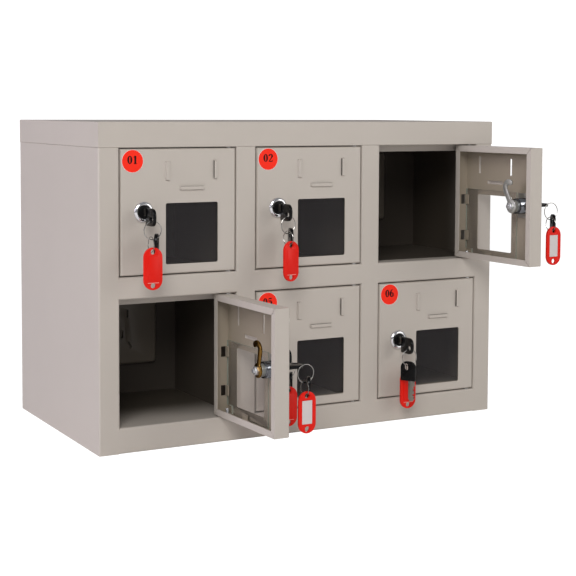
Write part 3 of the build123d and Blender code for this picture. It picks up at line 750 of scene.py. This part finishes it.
def wound_ring(radius, half_wide, half_thick, steps=56, around=8):
    """A split ring: flat wire wound twice, the turns side by side."""
    shape = bmesh.new()
    sections = []
    for i in range(2 * steps - 1):
        angle, y = 2 * pi * i / steps, TURN_PITCH * (i / steps - 1)
        section = []
        for k in range(around):
            a = 2 * pi * k / around
            r = radius + half_wide * cos(a)
            section.append(shape.verts.new((r * cos(angle), y + half_thick * sin(a), r * sin(angle))))
        sections.append(section)
    for one, two in zip(sections, sections[1:]):
        for k in range(around):
            shape.faces.new((one[k], one[k - 1], two[k - 1], two[k]))
    shape.faces.new(sections[0])
    shape.faces.new(reversed(sections[-1]))
    return shape


def cut_blade(shell, side):
    """A hanging blade with a blunt point and the cuts of its key in one edge, and where it belongs. The
    side, 1 or -1, says which way along x it faces."""
    flat, up = max(shell.faces, key=lambda f: f.calc_area()).normal.copy(), Vector((0, 0, 1))
    if flat.x * side < 0:
        flat.negate()
    low, high = span(shell)
    axes = Matrix((flat.cross(up), flat, up)).transposed().to_4x4()
    place = Matrix.Translation((low + high) / 2) @ axes @ Matrix.Scale(MM, 4)
    wide, long, thick = BLADE_HALF
    outline = [(wide, long), (-wide, long), (-wide, POINT_BACK[1] - long), (POINT_BACK[0] - wide, -long)]
    outline += [(wide - POINT_FLAT, -long), (wide - POINT_FRONT[0], POINT_FRONT[1] - long)]
    for number, deep in enumerate(CUT_DEPTHS):
        z = CUTS_FROM + CUT_PITCH * number
        outline += [(wide, z - CUT_HALF_OPEN), (wide - deep, z - CUT_HALF_FLAT)]
        outline += [(wide - deep, z + CUT_HALF_FLAT), (wide, z + CUT_HALF_OPEN)]
    return plate(outline, -thick, thick), place


def rounded(width, height, corner, x=0.0, z=0.0):
    """Corners of an upright rectangle with round corners."""
    points = []
    for quarter, (sx, sz) in enumerate(((1, 1), (-1, 1), (-1, -1), (1, -1))):
        middle = (x + sx * (width / 2 - corner), z + sz * (height / 2 - corner))
        points += sweep(middle, corner, 90 * quarter, 90 * quarter + 90, 5)
    return points


for mark in DOORS:
    fob = "fob_" + mark
    for name, body in (("key_" + mark, f"key_{mark}_body"), ("spare_key_" + mark, fob)):
        head, blade = sorted(shells_of(name), key=lambda s: s.calc_volume(), reverse=True)
        add_piece(name + "_head", round_edges(head, KEY_EDGE_MM), black, body, "key_head_plastic", name)
        at = None
        if body == fob:
            blade, at = cut_blade(blade, -1 if mark in TURNED_BLADES else 1)
        blade = round_edges(blade, BLADE_EDGE_MM if at is None else CUT_EDGE_MM / MM)
        add_piece(name + "_blade", blade, steel, body, "plated_steel", name, place=at)
    place, ring, tag_node = fob_place(mark), "key_ring_" + mark, "key_tag_" + mark
    tag = shells_of(tag_node)[0]
    middle = place.inverted() @ (sum(span(tag), Vector()) / 2)
    add_piece("tag_" + mark, round_edges(tag, TAG_EDGE_MM), red, fob, "tag_plastic", tag_node)
    at = place @ Matrix.Translation(middle)
    side = 1 if mark in CLOSED and mark not in TURNED_TAGS else -1
    deep = CARD_DEEP if mark not in TURNED_TAGS else PANEL[2] - CARD[2]
    card = plate(rounded(CARD[0], CARD[1], CARD_CORNER), side * deep, side * (deep + CARD[2]))
    add_piece("tag_card_" + mark, card, card_paper, fob, "tag_plastic", place=at)
    panel = plate(rounded(PANEL[0], PANEL[1], PANEL_CORNER), 0, -side * PANEL[2])
    panel = round_edges(panel, PANEL_EDGE_MM / MM)
    add_piece("tag_panel_" + mark, panel, red, fob, "tag_plastic", place=at)
    strip = rounded(FLAP_EDGE[0], FLAP_EDGE[1], FLAP_CORNER, 0, FLAP_EDGE[2])
    edge = plate(strip, 0, -side * (PANEL[2] - FLAP_BELOW))
    add_piece("tag_flap_edge_" + mark, edge, flap_edge_highlight, fob, "tag_plastic", place=at)
    small = sorted(shells_of(ring), key=lambda s: (span(s)[1] - span(s)[0]).length)[0]
    offset = sum(span(small), Vector()) / 2 - place.translation
    small_place = Matrix.Translation(offset) @ place @ Matrix.Rotation(pi / 2, 4, "Z")
    for name, size, at in (("large", LARGE_RING, place), ("small", SMALL_RING, small_place)):
        add_piece(f"ring_{name}_{mark}", wound_ring(*size), nickel, fob, "ring_steel", ring, place=at)
